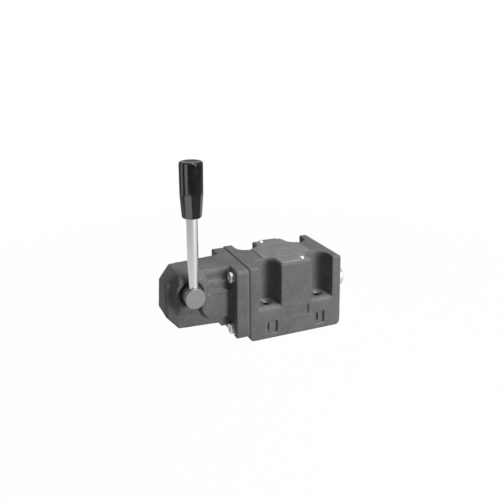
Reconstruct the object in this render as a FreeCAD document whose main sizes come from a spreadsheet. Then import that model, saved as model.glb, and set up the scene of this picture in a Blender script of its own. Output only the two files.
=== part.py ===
"""Hand lever directional valve, bolted down on a plate through four deep pockets.

Frame: origin at the centre of the bolt pattern on the base face, +X towards the end plug,
+Y away from the lever side, +Z up. Lengths are in millimetres.
"""
import FreeCAD, Part
import os
import re
import Sketcher

# Driving dimensions. Each one can be changed by itself.
SIZES = {
    # valve body casting
    "body_length": 95.0,
    "body_width": 69.0,
    "body_height": 71.0,
    "body_foot_round": 5.0,
    "body_head_round": 3.5,
    "body_end_round": 1.5,
    "body_rim_round": 1.2,
    "bolt_pitch_long": 54.0,
    "bolt_pitch_wide": 46.0,
    "bolt_hole": 6.6,
    "spot_face": 13.0,
    "spot_face_depth": 1.2,
    "pocket_width": 22.0,
    "pocket_reach": 20.0,
    "pocket_floor": 31.5,
    "pocket_sill_round": 3.5,
    # ports on the base, a standard size 5 pattern
    "port_hole": 10.5,
    "port_depth": 30.0,
    "pressure_port_depth": 39.0,
    "pressure_port_side": 16.7,
    "work_port_along": 10.3,
    "work_port_side": 1.6,
    "tank_port_along": 23.8,
    "tank_port_side": 9.5,
    "port_recess": 16.0,
    "port_recess_depth": 1.4,
    "port_ring_width": 1.9,
    # spool and its bore
    "spool_height": 36.0,
    "spool_diameter": 18.0,
    "spool_core": 12.0,
    "spool_land": 9.0,
    "spool_left": 40.0,
    "spool_right": 36.0,
    "spool_thread_depth": 14.0,
    "chamber_diameter": 26.0,
    "chamber_width": 6.0,
    "running_clearance": 0.04,
    "seat_clearance": 0.02,
    "end_chamfer": 0.6,
    # operating rod, its fork and lock nut
    "rod_diameter": 8.0,
    "fork_diameter": 16.0,
    "fork_length": 17.0,
    "fork_top": 4.0,
    "fork_slot_depth": 5.0,
    "fork_grip": 3.7,
    "lock_nut_flats": 12.0,
    "lock_nut_height": 5.0,
    # centring springs and their seats
    "spring_length": 24.0,
    "spring_outside": 14.0,
    "spring_wire": 1.6,
    "spring_turns": 5.0,
    "seat_thickness": 2.0,
    "seat_diameter": 14.4,
    "seat_spigot": 3.0,
    "cup_bore": 15.0,
    "cup_wall": 2.0,
    "cup_flange": 34.0,
    "cup_flange_thickness": 2.5,
    "rod_passage": 9.0,
    # end plug and its ring
    "plug_thread": 26.0,
    "plug_thread_length": 10.0,
    "plug_relief_bore": 19.0,
    "plug_relief_depth": 7.0,
    "plug_flats": 32.0,
    "plug_hex_height": 7.0,
    "plug_nose": 21.0,
    "plug_reach": 19.0,
    "plug_chamfer": 1.5,
    "plug_ring_diameter": 27.8,
    "plug_ring_cord": 1.8,
    # lever housing casting
    "gasket_thickness": 0.5,
    "gasket_inset": 0.6,
    "flange_thickness": 11.9,
    "flange_below": 30.6,
    "flange_above": 34.2,
    "flange_round": 3.0,
    "root_below": 19.6,
    "housing_root_half_low": 19.5,
    "housing_root_half_high": 18.5,
    "knee_reach": 61.8,
    "knee_below": 18.3,
    "knee_above": 17.3,
    "knee_half_low": 18.0,
    "knee_half_high": 15.5,
    "nose_length": 10.7,
    "tip_below": 8.5,
    "tip_above": 7.9,
    "tip_half_low": 14.5,
    "tip_half_high": 11.0,
    "housing_top_round": 3.5,
    "housing_low_round": 2.5,
    "nose_edge": 1.2,
    "boss_diameter": 29.0,
    "boss_face": 22.5,
    "boss_round": 1.0,
    "pad_radius": 12.8,
    "pad_drop": 14.8,
    "pad_run": 16.6,
    "foot_below": 22.4,
    "foot_length": 9.5,
    "foot_slope": 3.5,
    "mouth_bore": 28.0,
    "crank_room_half": 11.0,
    "crank_room_front": 14.0,
    "crank_room_back": 14.5,
    "crank_room_spare": 1.2,
    "screw_pitch_wide": 45.0,
    "screw_pitch_high": 49.5,
    "screw_clear_hole": 6.6,
    "screw_recess": 11.5,
    "screw_recess_depth": 3.0,
    "screw_channel": 12.0,
    # housing screws
    "screw_diameter": 6.0,
    "screw_length": 15.5,
    "screw_head": 10.0,
    "screw_head_height": 6.0,
    "screw_socket": 5.0,
    "screw_socket_depth": 3.0,
    "screw_edge": 0.7,
    "screw_tap_spare": 0.6,
    # lever shaft, its bushes and seal
    "shaft_reach": 51.1,
    "shaft_diameter": 18.4,
    "journal_diameter": 14.0,
    "shaft_front": 35.0,
    "shaft_back": 19.3,
    "shaft_chamfer": 0.4,
    "bush_wall": 1.6,
    "thrust_clearance": 0.3,
    "seal_width": 4.0,
    "seal_wall": 2.0,
    "seal_sunk": 1.6,
    # crank and its pin
    "finger_length": 15.6,
    "hub_diameter": 20.0,
    "hub_length": 19.0,
    "hub_edge": 0.5,
    "finger_neck": 5.0,
    "ball_diameter": 8.0,
    "ball_clearance": 0.15,
    "pin_diameter": 4.0,
    # lever rod and its handle
    "lever_setback": 6.5,
    "lever_seat_depth": 8.0,
    "lever_low_diameter": 8.3,
    "lever_swell_diameter": 9.8,
    "lever_swell_height": 33.0,
    "lever_high_diameter": 10.2,
    "lever_grip_height": 72.0,
    "lever_thread": 8.0,
    "lever_thread_length": 18.0,
    "grip_length": 48.9,
    "grip_diameter": 20.7,
    "grip_waist_diameter": 20.4,
    "grip_foot_diameter": 17.3,
    "grip_taper_height": 20.5,
    "grip_top_round": 1.8,
    "grip_dish": 0.7,
    "grip_dish_diameter": 13.6,
    "grip_foot_chamfer": 0.8,
    "flat_foot_half": 8.1,
    "insert_diameter": 12.0,
    "insert_length": 22.0,
    # nameplate and its drive screws
    "plate_thickness": 0.8,
    "plate_inset": 1.0,
    "plate_half_length": 25.6,
    "plate_corner_cut": 6.5,
    "plate_screw_along": 8.4,
    "plate_screw_side": 28.3,
    "plate_screw_head": 4.6,
    "plate_screw_head_height": 1.5,
    "plate_screw_shank": 2.4,
    "plate_screw_depth": 6.0,
}
GRIP_FLATS = 8
WIRE_SIDES = 8

# Places that several pieces share, as formulas of the sizes above.
BODY_END = "(body_length / 2)"
FLANGE_FACE = f"({BODY_END} + gasket_thickness)"
FLANGE_BACK = f"({FLANGE_FACE} + flange_thickness)"
SHAFT_X = f"({BODY_END} + shaft_reach)"
SHAFT_Z = "(spool_height + finger_length)"
SHAFT_R = "(shaft_diameter / 2)"
LEVER_Y = "(shaft_front - lever_setback)"
SPOOL_R = "(spool_diameter / 2)"
FLANGE_BOTTOM = "(spool_height - flange_below)"
FLANGE_TOP = "(spool_height + flange_above)"
SCREW_Y = "(screw_pitch_wide / 2)"
SCREW_LOW = "(spool_height - screw_pitch_high / 2)"
SCREW_HIGH = "(spool_height + screw_pitch_high / 2)"
SCREW_SEAT = f"({FLANGE_BACK} - screw_recess_depth)"
NOSE_END = f"({BODY_END} + knee_reach + nose_length)"
SEAL_BACK = "(boss_face - seal_sunk - seal_width)"
BUSH_FACE = "(hub_length / 2 + thrust_clearance)"
LEFT_SEAT = "(spool_left + seat_thickness)"
RIGHT_SEAT = "(spool_right + seat_thickness)"
CUP_BOTTOM = f"({LEFT_SEAT} + spring_length)"
PLUG_BOTTOM = f"({RIGHT_SEAT} + spring_length)"
POCKET_R = "(pocket_width / 2)"
POCKET_ARC_Y = f"(body_width / 2 - pocket_reach + {POCKET_R})"

doc = FreeCAD.newDocument("HandLeverValve")
sheet = doc.addObject("Spreadsheet::Sheet", "Sizes")
for row, (alias, size) in enumerate(SIZES.items(), start=1):
    sheet.set(f"A{row}", alias.replace("_", " "))
    sheet.set(f"B{row}", str(size))
    sheet.setAlias(f"B{row}", alias)
doc.recompute()


def bound(formula):
    """The formula with each size read from the sheet."""
    def sheet_name(word):
        name = word.group(0)
        return "Sizes." + name if name in SIZES else name

    return re.sub(r"[a-z_]+", sheet_name, str(formula))


def value(formula):
    """The formula's present value."""
    return float(sheet.evalExpression(bound(formula).replace("Sizes.", "")))


def built(feature):
    """Recomputes and returns the feature, which has to have worked."""
    doc.recompute()
    if "Up-to-date" not in feature.State or not feature.Shape.isValid():
        raise RuntimeError(f"{feature.Label}: {feature.getStatusString()}")
    return feature


def new_piece(label, at=("0", "0", "0")):
    """An empty body whose place follows the sizes."""
    body = doc.addObject("PartDesign::Body", label)
    body.Label = label
    for axis, formula in zip("xyz", at):
        body.setExpression(f"Placement.Base.{axis}", bound(formula))
    return body


def new_sketch(body, name, plane, shift):
    sketch = body.newObject("Sketcher::SketchObject", f"{body.Label}_{name}_sketch")
    support = next(item for item in body.Origin.OriginFeatures if item.Role == plane)
    sketch.AttachmentSupport = (support, [""])
    sketch.MapMode = "FlatFace"
    for axis, formula in zip("xyz", shift):
        sketch.setExpression(f"AttachmentOffset.Base.{axis}", bound(formula))
    return sketch


def hold(sketch, geometry, position, tag, along=None, across=None):
    """Ties one sketch point to formulas, measured from the sketch's origin."""
    for axis, formula in (("X", along), ("Y", across)):
        if formula is None:
            continue
        index = sketch.addConstraint(
            Sketcher.Constraint("Distance" + axis, -1, 1, geometry, position, value(formula)))
        name = f"{axis.lower()}_{tag}"
        sketch.renameConstraint(index, name)
        sketch.setExpression(f"Constraints.{name}", bound(formula))


def outline(body, name, plane, corners, shift=("0", "0", "0"), arcs=None):
    """A closed outline, counter-clockwise where it has arcs.

    arcs gives, for a side's number, the centre of its arc and which of the centre's two
    coordinates is held; the side's two ends settle the other.
    """
    sketch = new_sketch(body, name, plane, shift)
    arcs = arcs or {}
    points = [FreeCAD.Vector(value(x), value(y), 0) for x, y in corners]
    count = len(points)
    for side, start in enumerate(points):
        end = points[(side + 1) % count]
        if side in arcs:
            centre = FreeCAD.Vector(value(arcs[side][0]), value(arcs[side][1]), 0)
            circle = Part.Circle(centre, FreeCAD.Vector(0, 0, 1), (start - centre).Length)
            sketch.addGeometry(Part.ArcOfCircle(circle, circle.parameter(start), circle.parameter(end)))
        else:
            sketch.addGeometry(Part.LineSegment(start, end))
    for side in range(count):
        sketch.addConstraint(Sketcher.Constraint("Coincident", side, 2, (side + 1) % count, 1))
    for side, (x, y) in enumerate(corners):
        hold(sketch, side, 1, f"corner{side}", x, y)
    for side, (x, y, held) in arcs.items():
        hold(sketch, side, 3, f"centre{side}", x if held == "X" else None, y if held == "Y" else None)
    return sketch


def circles(body, name, plane, places, shift=("0", "0", "0")):
    """Circles given as (x, y, diameter)."""
    sketch = new_sketch(body, name, plane, shift)
    for index, (x, y, diameter) in enumerate(places):
        centre = FreeCAD.Vector(value(x), value(y), 0)
        sketch.addGeometry(Part.Circle(centre, FreeCAD.Vector(0, 0, 1), value(diameter) / 2))
        hold(sketch, index, 3, f"centre{index}", x, y)
        bore = sketch.addConstraint(Sketcher.Constraint("Diameter", index, value(diameter)))
        sketch.renameConstraint(bore, f"bore_{index}")
        sketch.setExpression(f"Constraints.bore_{index}", bound(diameter))
    return sketch


def box(x_low, x_high, y_low, y_high):
    """The four corners of a rectangle."""
    return [(x_low, y_low), (x_high, y_low), (x_high, y_high), (x_low, y_high)]


def hexagon(flats):
    """The six corners of a hexagon with two flats facing up and down."""
    reach = f"({flats}) / sqrt(3)"
    half = f"({flats}) / 2"
    short = f"({flats}) / sqrt(12)"
    return [(reach, "0"), (short, half), (f"-{short}", half), (f"-{reach}", "0"),
            (f"-{short}", f"-{half}"), (short, f"-{half}")]


def sweep_straight(kind, body, name, sketch, length, flip, both):
    feature = body.newObject(f"PartDesign::{kind}", f"{body.Label}_{name}")
    feature.Profile = sketch
    feature.Reversed = flip
    feature.SideType = "Symmetric" if both else "One side"
    feature.setExpression("Length", bound(length))
    return built(feature)


def pad(body, name, sketch, length, flip=False, both=False):
    return sweep_straight("Pad", body, name, sketch, length, flip, both)


def pocket(body, name, sketch, length, flip=False, both=False):
    """A pocket that has to take material away."""
    before = body.Shape.Volume
    feature = sweep_straight("Pocket", body, name, sketch, length, flip, both)
    if body.Shape.Volume > before - 1e-6:
        raise RuntimeError(f"{body.Label}: pocket {name} cuts nothing")
    return feature


def turn(kind, body, name, sketch, axis):
    feature = body.newObject(f"PartDesign::{kind}", f"{body.Label}_{name}")
    feature.Profile = sketch
    feature.ReferenceAxis = (sketch, [axis])
    feature.Angle = 360
    return built(feature)


def turned(label, axis, corners, at=("0", "0", "0"), arcs=None):
    """A turned piece from its (along, radius) outline about the X, Y or Z axis."""
    body = new_piece(label, at)
    plane = {"X": "XZ_Plane", "Y": "YZ_Plane", "Z": "XZ_Plane"}[axis]
    if axis == "Z":
        corners = [(radius, along) for along, radius in corners]
    sketch = outline(body, "profile", plane, corners, arcs=arcs)
    turn("Revolution", body, "turning", sketch, "V_Axis" if axis == "Z" else "H_Axis")
    return body


def loft(body, name, sections):
    feature = body.newObject("PartDesign::AdditiveLoft", f"{body.Label}_{name}")
    feature.Profile = sections[0]
    feature.Sections = sections[1:]
    feature.Ruled = True
    return built(feature)


def edges_of(body, wanted):
    """Names of the body's present edges that the test picks."""
    return [f"Edge{number}" for number, edge in enumerate(body.Shape.Edges, start=1) if wanted(edge)]


def round_edges(body, name, wanted, radius, kind="Fillet"):
    base = body.Tip
    names = edges_of(body, wanted)
    if not names:
        raise RuntimeError(f"{body.Label}: no edge to round for {name}")
    feature = body.newObject(f"PartDesign::{kind}", f"{body.Label}_{name}")
    feature.Base = (base, names)
    feature.setExpression("Radius" if kind == "Fillet" else "Size", bound(radius))
    return built(feature)


def mirrored(body, name, feature, planes):
    """Repeats a feature across one or two of the body's origin planes."""
    group = body.newObject("PartDesign::MultiTransform", f"{body.Label}_{name}")
    group.Originals = [feature]
    steps = []
    for plane in planes:
        step = doc.addObject("PartDesign::Mirrored", f"{body.Label}_{name}_{plane}")
        body.addObject(step)
        support = next(item for item in body.Origin.OriginFeatures if item.Role == plane)
        step.MirrorPlane = (support, [""])
        steps.append(step)
    group.Transformations = steps
    body.Tip = group
    return built(group)


def group_of(label, pieces):
    """Loose copies of one fastener or ring, as one sub-part."""
    group = doc.addObject("Part::Compound", label)
    group.Label = label
    group.Links = pieces
    return group


def near(a, b, slack=1e-4):
    return abs(a - b) < slack


def lies_at(edge, axis, place):
    """True where every point of the edge has this coordinate."""
    low = getattr(edge.BoundBox, axis.upper() + "Min")
    high = getattr(edge.BoundBox, axis.upper() + "Max")
    return near(low, place) and near(high, place)


def straight_along(edge, axis):
    """True for a straight edge that runs along the axis."""
    if edge.Curve.TypeId != "Part::GeomLine":
        return False
    return near(abs(getattr(edge.Curve.Direction, axis)), 1)


def slot(body, name, half_width, arc_y, open_y, shift):
    """A plan of a pocket that is open at its -Y end and round at its +Y end."""
    x = "bolt_pitch_long / 2"
    corners = [(f"{x} - {half_width}", open_y), (f"{x} + {half_width}", open_y),
               (f"{x} + {half_width}", arc_y), (f"{x} - {half_width}", arc_y)]
    return outline(body, name, "XY_Plane", corners, shift=shift, arcs={2: (x, arc_y, "Y")})


def pattern_of_four(along, side, diameter):
    return [(f"{sx} * {along}", f"{sy} * {side}", diameter) for sx in (-1, 1) for sy in (-1, 1)]


PORTS = {
    "pressure": ("0", "-pressure_port_side"),
    "work_left": ("-work_port_along", "-work_port_side"),
    "work_right": ("work_port_along", "-work_port_side"),
    "tank_left": ("-tank_port_along", "tank_port_side"),
    "tank_right": ("tank_port_along", "tank_port_side"),
}


def bore_profile():
    """Outline of everything that is bored out along the spool's axis, as (along, radius)."""
    bore = f"{SPOOL_R} + running_clearance"
    chamber = "chamber_diameter / 2"
    past = f"{BODY_END} + 1"
    corners = [(f"-({past})", "0"), (past, "0"), (past, "plug_thread / 2 + seat_clearance"),
               (f"{BODY_END} - plug_thread_length", "plug_thread / 2 + seat_clearance"),
               (f"{BODY_END} - plug_thread_length", bore)]
    places = ["tank_port_along", "work_port_along", "0", "-work_port_along", "-tank_port_along"]
    for place in places:
        corners += [(f"{place} + chamber_width / 2", bore), (f"{place} + chamber_width / 2", chamber),
                    (f"{place} - chamber_width / 2", chamber), (f"{place} - chamber_width / 2", bore)]
    corners.append((f"-({past})", bore))
    return corners


def valve_body():
    """Cast body: block, four bolt pockets, ports on the base and the cored spool bore."""
    body = new_piece("valve_body")
    end, top, foot = BODY_END, "body_height", "body_foot_round"
    head = f"min(body_head_round; {end} - bolt_pitch_long / 2 - {POCKET_R} - body_rim_round - 0.2)"
    corners = [(f"-{end}", foot), (f"{foot} - {end}", "0"), (f"{end} - {foot}", "0"), (end, foot),
               (end, f"{top} - {head}"), (f"{end} - {head}", top), (f"-{end}", top)]
    arcs = {0: (f"{foot} - {end}", foot, "X"), 2: (f"{end} - {foot}", foot, "X"),
            4: (f"{end} - {head}", f"{top} - {head}", "X")}
    pad(body, "block", outline(body, "block", "XZ_Plane", corners, arcs=arcs), "body_width", both=True)
    end_x = value(end)
    half_width = value("body_width / 2")
    round_edges(body, "end_rounds", lambda edge: lies_at(edge, "x", end_x) and straight_along(edge, "z"),
                "body_end_round")
    plan = slot(body, "pocket_plan", POCKET_R, f"-{POCKET_ARC_Y}", "-(body_width / 2 + 1)",
                ("0", "0", "pocket_floor"))
    cut = pocket(body, "bolt_pocket", plan, f"{top} - pocket_floor + 1", flip=True)
    mirrored(body, "bolt_pockets", cut, ["YZ_Plane", "XZ_Plane"])
    floor, height = value("pocket_floor"), value(top)
    round_edges(body, "pocket_sills",
                lambda edge: straight_along(edge, "x") and near(edge.BoundBox.ZMin, floor)
                and near(abs(edge.BoundBox.YMin), half_width), "pocket_sill_round")
    sides = [value(f"bolt_pitch_long / 2 {sign} {POCKET_R}") for sign in "+-"]
    smooth_x = value(f"{end} - {head}")

    def rim(edge):
        if straight_along(edge, "z"):
            return near(abs(edge.BoundBox.YMin), half_width) and any(
                near(abs(edge.BoundBox.XMin), side) for side in sides)
        return (lies_at(edge, "z", height) and not lies_at(edge, "x", -end_x)
                and not lies_at(edge, "x", smooth_x))

    round_edges(body, "rim_rounds", rim, "body_rim_round")
    along, side = "bolt_pitch_long / 2", "bolt_pitch_wide / 2"
    pocket(body, "bolt_holes", circles(body, "bolt_holes", "XY_Plane",
                                       pattern_of_four(along, side, "bolt_hole")),
           "pocket_floor + 1", flip=True)
    spots = circles(body, "spot_faces", "XY_Plane", pattern_of_four(along, side, "spot_face"),
                    shift=("0", "0", "pocket_floor - spot_face_depth"))
    pocket(body, "spot_faces", spots, "spot_face_depth + 1", flip=True)
    bore = outline(body, "spool_bore", "XZ_Plane", bore_profile(), shift=("0", "spool_height", "0"))
    turn("Groove", body, "spool_bore", bore, "H_Axis")
    pressure = [(*PORTS["pressure"], "port_hole")]
    others = [(*place, "port_hole") for name, place in PORTS.items() if name != "pressure"]
    pocket(body, "pressure_port", circles(body, "pressure_port", "XY_Plane", pressure),
           "pressure_port_depth", flip=True)
    pocket(body, "ports", circles(body, "ports", "XY_Plane", others), "port_depth", flip=True)
    recesses = [(*place, "port_recess") for place in PORTS.values()]
    pocket(body, "port_recesses", circles(body, "port_recesses", "XY_Plane", recesses),
           "port_recess_depth", flip=True)
    taps = [(f"{sign} * {SCREW_Y}", level, "screw_diameter + 2 * seat_clearance")
            for sign in (-1, 1) for level in (SCREW_LOW, SCREW_HIGH)]
    tap_depth = f"({BODY_END} - {SCREW_SEAT} + screw_length + screw_tap_spare)"
    pocket(body, "screw_taps", circles(body, "screw_taps", "YZ_Plane", taps, shift=("0", "0", f"-{end}")),
           tap_depth, flip=True)
    anchors = [(f"{sign} * plate_screw_along", f"-{sign} * plate_screw_side",
                "plate_screw_shank + 2 * seat_clearance") for sign in (-1, 1)]
    pocket(body, "plate_screw_holes", circles(body, "plate_screw_holes", "XY_Plane", anchors,
                                              shift=("0", "0", top)), "plate_screw_depth + 1")
    return body


def nameplate():
    """Thin bare plate on the top of the body, cut back round the four pockets."""
    body = new_piece("nameplate", ("0", "0", "body_height"))
    half, side, cut = "plate_half_length", "(body_width / 2 - plate_inset)", "plate_corner_cut"
    neck = f"(bolt_pitch_long / 2 - {POCKET_R} - plate_inset)"
    corners = [(f"-{half}", f"-{side}"), (half, f"-{side}"), (half, f"{side} - {cut}"),
               (neck, f"{side} - {cut}"), (f"{neck} - {cut}", side), (f"-{neck} + {cut}", side),
               (f"-{neck}", f"{side} - {cut}"), (f"-{half}", f"{side} - {cut}")]
    pad(body, "sheet", outline(body, "sheet", "XY_Plane", corners), "plate_thickness")
    plan = slot(body, "pocket_plan", f"({POCKET_R} + plate_inset)", f"-{POCKET_ARC_Y}",
                "-(body_width / 2 + 1)", ("0", "0", "-1"))
    bite = pocket(body, "bite", plan, "plate_thickness + 2", flip=True)
    mirrored(body, "bites", bite, ["YZ_Plane", "XZ_Plane"])
    holes = [(f"{sign} * plate_screw_along", f"-{sign} * plate_screw_side",
              "plate_screw_shank + 2 * seat_clearance") for sign in (-1, 1)]
    pocket(body, "screw_holes", circles(body, "screw_holes", "XY_Plane", holes), "plate_thickness + 1",
           flip=True)
    return body


def nameplate_screws():
    """Two round-headed drive screws that hold the nameplate."""
    head, rise = "plate_screw_head / 2", "plate_screw_head_height"
    shank = "plate_screw_shank / 2"
    corners = [("-plate_screw_depth", "0"), ("-plate_screw_depth", shank), ("0", shank), ("0", head),
               (f"{rise} / 2", head), (rise, f"{head} * 0.55"), (rise, "0")]
    pieces = [turned(f"nameplate_screw_{index}", "Z", corners,
                     (f"{sign} * plate_screw_along", f"-{sign} * plate_screw_side",
                      "body_height + plate_thickness"))
              for index, sign in enumerate((-1, 1), start=1)]
    return group_of("nameplate_screws", pieces)


def port_orings():
    """Five sealing rings, lying squeezed flush in their recesses on the base."""
    outer = "port_recess / 2 - 0.1"
    inner = f"{outer} - port_ring_width"
    depth = "port_recess_depth"
    corners = [("0.2", inner), (f"{depth} - 0.2", inner), (depth, f"{inner} + 0.3"),
               (depth, f"{outer} - 0.3"), (f"{depth} - 0.2", outer), ("0.2", outer),
               ("0", f"{outer} - 0.3"), ("0", f"{inner} + 0.3")]
    pieces = [turned(f"port_oring_{name}", "Z", corners, (*place, "0")) for name, place in PORTS.items()]
    return group_of("port_orings", pieces)


def housing_section(body, name, reach, bottom, top, half_low, half_high):
    """A cross-section of the housing: narrower at the top, with all four corners rounded."""
    low, high = "housing_low_round", "housing_top_round"
    corners = [(f"{low} - {half_low}", bottom), (f"{half_low} - {low}", bottom),
               (half_low, f"{bottom} + {low}"), (half_high, f"{top} - {high}"),
               (f"{half_high} - {high}", top), (f"{high} - {half_high}", top),
               (f"-{half_high}", f"{top} - {high}"), (f"-{half_low}", f"{bottom} + {low}")]
    arcs = {1: (f"{half_low} - {low}", f"{bottom} + {low}", "X"),
            3: (f"{half_high} - {high}", f"{top} - {high}", "X"),
            5: (f"{high} - {half_high}", f"{top} - {high}", "X"),
            7: (f"{low} - {half_low}", f"{bottom} + {low}", "X")}
    return outline(body, name, "YZ_Plane", corners, shift=("0", "0", f"-({reach})"), arcs=arcs)


def lever_housing():
    """Cast housing: flange, drafted box, faceted nose, shaft bosses and the crank's chamber."""
    body = new_piece("lever_housing")
    half = "(body_width / 2)"
    flange = outline(body, "flange", "YZ_Plane", box(f"-{half}", half, FLANGE_BOTTOM, FLANGE_TOP),
                     shift=("0", "0", f"-{FLANGE_FACE}"))
    pad(body, "flange", flange, "flange_thickness", flip=True)
    round_edges(body, "flange_corners", lambda edge: straight_along(edge, "x"), "flange_round")
    root = housing_section(body, "root", f"{FLANGE_BACK} - 1", "(spool_height - root_below)", FLANGE_TOP,
                           "housing_root_half_low", "housing_root_half_high")
    knee_sizes = ("(spool_height - knee_below)", f"({SHAFT_Z} + knee_above)",
                  "knee_half_low", "knee_half_high")
    knee = housing_section(body, "knee", f"{BODY_END} + knee_reach", *knee_sizes)
    loft(body, "box", [root, knee])
    knee_again = housing_section(body, "nose_root", f"{BODY_END} + knee_reach", *knee_sizes)
    tip = housing_section(body, "tip", f"{NOSE_END} - nose_edge", "(spool_height - tip_below)",
                          f"({SHAFT_Z} + tip_above)", "tip_half_low", "tip_half_high")
    face = housing_section(body, "nose_face", NOSE_END, "(spool_height - tip_below + nose_edge)",
                           f"({SHAFT_Z} + tip_above - nose_edge)", "(tip_half_low - nose_edge)",
                           "(tip_half_high - nose_edge)")
    loft(body, "nose", [knee_again, tip, face])
    foot_end, foot_z = f"(-({FLANGE_BACK} + foot_length))", "(spool_height - foot_below)"
    foot_top = "(spool_height - root_below + 2)"
    foot = [(f"1 - {FLANGE_BACK}", foot_z), (f"1 - {FLANGE_BACK}", foot_top),
            (f"{foot_end} - foot_slope", foot_top), (foot_end, foot_z)]
    pad(body, "foot", outline(body, "foot", "XZ_Plane", foot), "2 * housing_root_half_low - 1", both=True)
    boss_plan = circles(body, "boss", "XZ_Plane", [(f"-{SHAFT_X}", SHAFT_Z, "boss_diameter")])
    pad(body, "bosses", boss_plan, "2 * boss_face", both=True)
    face_y = value("boss_face")
    round_edges(body, "boss_rounds", lambda edge: lies_at(edge, "y", face_y) or lies_at(edge, "y", -face_y),
                "boss_round")
    pad_x, pad_z = f"(-({FLANGE_BACK} + pad_run))", f"({SHAFT_Z} - pad_drop)"
    pad_low, pad_high = f"{pad_z} - pad_radius", f"{pad_z} + pad_radius"
    pad_corners = [(f"1 - {FLANGE_BACK}", pad_low), (f"1 - {FLANGE_BACK}", pad_high), (pad_x, pad_high),
                   (pad_x, pad_low)]
    pad_plan = outline(body, "side_pad", "XZ_Plane", pad_corners, arcs={2: (pad_x, pad_z, "X")})
    pad(body, "side_pads", pad_plan, "2 * boss_face", both=True)
    channels = [(f"{sign} * {SCREW_Y}", SCREW_HIGH, "screw_channel") for sign in (-1, 1)]
    pocket(body, "screw_channels", circles(body, "screw_channels", "YZ_Plane", channels,
                                           shift=("0", "0", f"-{FLANGE_BACK}")),
           f"{SHAFT_X} - {FLANGE_BACK} - boss_diameter / 2 - 1")
    mouth = [("0", "spool_height", "mouth_bore")]
    pocket(body, "mouth", circles(body, "mouth", "YZ_Plane", mouth, shift=("0", "0", f"-{FLANGE_FACE}")),
           f"{SHAFT_X} - {FLANGE_FACE} - crank_room_front + 1")
    room = box("-crank_room_half", "crank_room_half", "spool_height - fork_diameter / 2 - crank_room_spare",
               f"{SHAFT_Z} + hub_diameter / 2 + crank_room_spare")
    pocket(body, "crank_room", outline(body, "crank_room", "YZ_Plane", room,
                                       shift=("0", "0", f"-({SHAFT_X} - crank_room_front)")),
           "crank_room_front + crank_room_back")
    pocket(body, "cup_recess", circles(body, "cup_recess", "YZ_Plane",
                                       [("0", "spool_height", "cup_flange + 2 * seat_clearance")],
                                       shift=("0", "0", f"-{FLANGE_FACE}")), "cup_flange_thickness")
    axis_place = (f"-{SHAFT_X}", SHAFT_Z)
    front_bore = circles(body, "front_bush_bore", "XZ_Plane",
                         [(*axis_place, "shaft_diameter + 2 * bush_wall + 2 * seat_clearance")])
    pocket(body, "front_bush_bore", front_bore, "boss_face + 1", flip=True)
    seal_bore = circles(body, "seal_bore", "XZ_Plane",
                        [(*axis_place, "shaft_diameter + 2 * seal_wall + 2 * seat_clearance")],
                        shift=("0", "0", "boss_face + 1"))
    pocket(body, "seal_bore", seal_bore, "seal_sunk + seal_width + 1")
    rear_bore = circles(body, "rear_bush_bore", "XZ_Plane",
                        [(*axis_place, "journal_diameter + 2 * bush_wall + 2 * seat_clearance")])
    pocket(body, "rear_bush_bore", rear_bore, "shaft_back + 0.7")
    places = [(f"{sign} * {SCREW_Y}", level) for sign in (-1, 1) for level in (SCREW_LOW, SCREW_HIGH)]
    holes = circles(body, "screw_holes", "YZ_Plane", [(*place, "screw_clear_hole") for place in places],
                    shift=("0", "0", f"-{FLANGE_FACE}"))
    pocket(body, "screw_holes", holes, "flange_thickness")
    recesses = circles(body, "screw_recesses", "YZ_Plane", [(*place, "screw_recess") for place in places],
                       shift=("0", "0", f"-{SCREW_SEAT}"))
    pocket(body, "screw_recesses", recesses, "screw_head_height + 1")
    return body


def housing_gasket():
    """Flat gasket between the housing's flange and the body, cut a little smaller than both."""
    body = new_piece("housing_gasket", (f"-{FLANGE_FACE}", "0", "0"))
    half = "(body_width / 2 - gasket_inset)"
    rim = box(f"-{half}", half, f"{FLANGE_BOTTOM} + gasket_inset", f"{FLANGE_TOP} - gasket_inset")
    pad(body, "sheet", outline(body, "sheet", "YZ_Plane", rim), "gasket_thickness")
    window = circles(body, "window", "YZ_Plane", [("0", "spool_height", "cup_flange - 6")])
    pocket(body, "window", window, "gasket_thickness + 1", both=True)
    places = [(f"{sign} * {SCREW_Y}", level, "screw_clear_hole")
              for sign in (-1, 1) for level in (SCREW_LOW, SCREW_HIGH)]
    pocket(body, "screw_holes", circles(body, "screw_holes", "YZ_Plane", places),
           "gasket_thickness + 1", both=True)
    return body


def housing_screws():
    """Four socket-head screws that hold the housing on the body."""
    head, shank, edge = "screw_head / 2", "screw_diameter / 2", "screw_edge"
    corners = [("-screw_head_height", "0"), ("screw_length", "0"), ("screw_length", f"{shank} - {edge}"),
               (f"screw_length - {edge}", shank), ("0", shank), ("0", head),
               (f"{edge} - screw_head_height", head), ("-screw_head_height", f"{head} - {edge}")]
    places = [(f"{sign} * {SCREW_Y}", level) for sign in (-1, 1) for level in (SCREW_LOW, SCREW_HIGH)]
    pieces = []
    for index, place in enumerate(places, start=1):
        screw = turned(f"housing_screw_{index}", "X", corners, (f"-{SCREW_SEAT}", *place))
        socket = outline(screw, "socket", "YZ_Plane", hexagon("screw_socket"),
                         shift=("0", "0", "-screw_head_height - 1"))
        pocket(screw, "socket", socket, "screw_socket_depth + 1", flip=True)
        pieces.append(screw)
    return group_of("housing_screws", pieces)


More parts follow.
